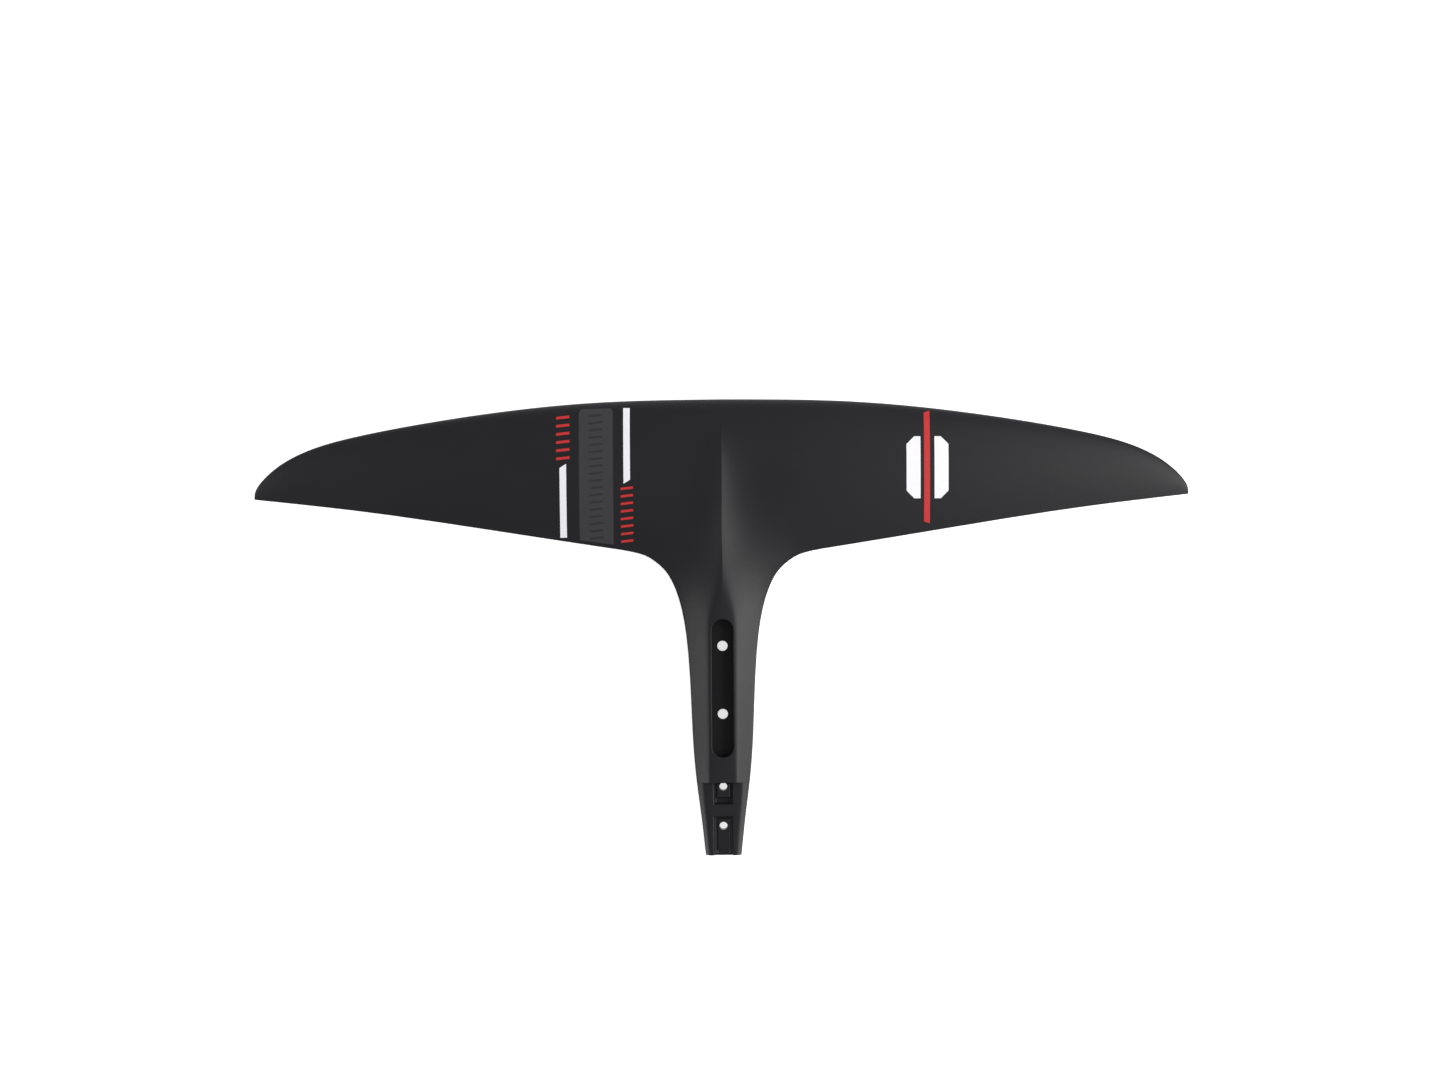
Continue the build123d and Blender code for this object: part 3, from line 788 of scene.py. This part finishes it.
# %% Inks and metal
def ink(name, low, high, gloss=0.4):
    """Printed colour, pooled a little and pricked by pinholes."""
    made = Finish(name, Specular_IOR_Level=0.45)
    pool = made.noise(160.0, 3.0)
    grain = made.noise(2600.0, 2.0)
    pinholes = made.noise(1900.0, 0.0).over(0.86, 0.02)
    made.colour(0.7 * pool + 0.3 * grain - 0.8 * pinholes, low, high)
    made.roughness(gloss + 0.08 * (pool - 0.5) + 0.06 * (grain - 0.5))
    made.bump(0.7 * grain + 0.3 * pool, 0.000015)
    return made.material


def turned_metal(name, low, high):
    """Anodised aluminium with turning marks along the axis and paler worn places."""
    made = Finish(name, Metallic=1.0)
    grain = made.noise(3000.0, 2.0)
    rings = made.noise(1400.0, 2.0, stretch=(0.2, 0.2, 1.0))
    wear = made.noise(230.0, 3.0).over(0.62, 0.1)
    made.colour(0.5 * rings + 0.3 * grain + 0.4 * wear, low, high)
    made.roughness(0.36 + 0.1 * (rings - 0.5) + 0.08 * (grain - 0.5) + 0.06 * wear)
    made.bump(0.5 * rings + 0.5 * grain, 0.00001)
    return made.material


def core_look(name, low, high, cell):
    """Foam or solid filling: paler and darker cells over a slow tint."""
    made = Finish(name, Specular_IOR_Level=0.3)
    cells = made.noise(cell, 4.0)
    tint = made.noise(25.0, 3.0)
    made.colour(0.7 * cells.over(0.5, 0.4) + 0.3 * tint, low, high)
    made.roughness(0.75 + 0.15 * (cells - 0.5))
    made.bump(cells, 0.0001)
    return made.material


LOOKS = {
    "carbon_skin": skin_look,
    "white_print": ink("white_ink", (0.84, 0.84, 0.87), (0.9, 0.9, 0.93)),
    "red_print": ink("red_ink", (0.5, 0.02, 0.02), (0.58, 0.027, 0.026)),
    "grey_print": ink("grey_ink", (0.026, 0.026, 0.027), (0.033, 0.033, 0.034), 0.6),
    "dark_print": ink("dark_ink", (0.012, 0.012, 0.013), (0.016, 0.016, 0.017), 0.6),
    "seat_metal": turned_metal("dark_anodised_aluminium", (0.10, 0.10, 0.11), (0.2, 0.2, 0.21)),
    "foam_core": core_look("structural_foam", (0.6, 0.54, 0.4), (0.76, 0.7, 0.54), 1800.0),
    "dense_foam": core_look("high_density_foam", (0.36, 0.32, 0.24), (0.48, 0.43, 0.33), 2600.0),
    "solid_laminate": core_look(
        "solid_carbon_filling", (0.03, 0.03, 0.034), (0.06, 0.06, 0.066), 900.0
    ),
}
PRINTS = {
    "white_print": WHITE_BARS,
    "red_print": RED_BARS,
    "grey_print": ["panel_grey"],
    "dark_print": ["dashes_panel"],
}
for slot_name, names in PRINTS.items():
    for name in names:
        marks[name].data.materials.append(LOOKS[slot_name])
upper.data.materials.append(skin_look)
for pad in pads:
    pad.data.materials.append(pad_look)
NODE_LOOKS = {"mast_box": socket_look_painted_shade, "tail_pad_front": pad_look, "tail_pad_rear": pad_look}
for part in frame["record"]["subparts"]:
    look = NODE_LOOKS.get(part["node"], LOOKS[part["material_slot"]])
    for material_slot in frame["nodes"][part["node"]].material_slots:
        material_slot.material = look
print("materials:", len(bpy.data.materials))

# %% [markdown]
# ## Floor and light
# A product of this kind is shown from above on plain white. The floor glows a little, so that it
# stays white right under the wing and inside the bolt holes. A long soft light lies low on the
# right and a weaker one on the left: they graze the flanks of the stub and leave its crown dark.
# A faint one in front picks out the leading edge.

# %% Floor and light
floor_mesh = bpy.data.meshes.new("floor")
FLOOR_HALF = 6
FLOOR_GAP = 0.0005
floor_z = cad_low[2] - FLOOR_GAP
signs = [(-1, -1), (1, -1), (1, 1), (-1, 1)]
corners = [(FLOOR_HALF * a, FLOOR_HALF * b, floor_z) for a, b in signs]
floor_mesh.from_pydata(corners, [], [(0, 1, 2, 3)])
floor = bpy.data.objects.new("floor", floor_mesh)
bpy.context.scene.collection.objects.link(floor)
floor_look = Finish("white_floor", Specular_IOR_Level=0.0, Roughness=1.0)
floor_look.colour(floor_look.noise(3.0), (0.86, 0.86, 0.86), (0.88, 0.88, 0.88))
floor_look.shader.inputs["Emission Color"].default_value = (1, 1, 1, 1)
floor_look.shader.inputs["Emission Strength"].default_value = 0.72
floor_mesh.materials.append(floor_look.material)


def soft_light(name, place, target, size, power):
    """Rectangular lamp at a place in metres, facing a target."""
    lamp = bpy.data.lights.new(name, "AREA")
    lamp.shape = "RECTANGLE"
    lamp.size, lamp.size_y = size
    lamp.energy = power
    light = bpy.data.objects.new(name, lamp)
    light.location = place
    aim = Vector(target) - Vector(place)
    light.rotation_euler = aim.to_track_quat("-Z", "Y").to_euler()
    bpy.context.scene.collection.objects.link(light)
    return light


soft_light("right_low", (1.8, 0.1, 1.1), (0, 0.05, 0), (1.2, 2.4), 54)
soft_light("left_low", (-1.9, 0.1, 0.45), (0, 0.05, 0), (0.6, 2.4), 19)
soft_light("front_low", (0.0, 2.2, 0.6), (0, 0.1, 0), (2.4, 0.5), 9)
world = bpy.data.worlds.new("studio")
bpy.context.scene.world = world
world.use_nodes = True
background = world.node_tree.nodes["Background"]
background.inputs["Color"].default_value = (0.95, 0.92, 1.0, 1)
background.inputs["Strength"].default_value = 0.39

# %% [markdown]
# ## Camera
# The view is straight down the Z axis, with the leading edge at the top. The camera is far away
# for a wing of this span, so its long lens draws the plan almost without perspective.

# %% Camera
DISTANCE = 2.5
SENSOR = 36.0
WIDTH_SEEN = 1.2340
camera_data = bpy.data.cameras.new("camera")
camera_data.sensor_width = SENSOR
camera_data.lens = SENSOR * DISTANCE / WIDTH_SEEN
camera = bpy.data.objects.new("camera", camera_data)
camera.location = (-0.0015, 0.1200, DISTANCE)
camera.rotation_euler = (0, 0, math.radians(-0.37))
bpy.context.scene.collection.objects.link(camera)
bpy.context.scene.camera = camera
bpy.context.scene.view_settings.view_transform = "Standard"
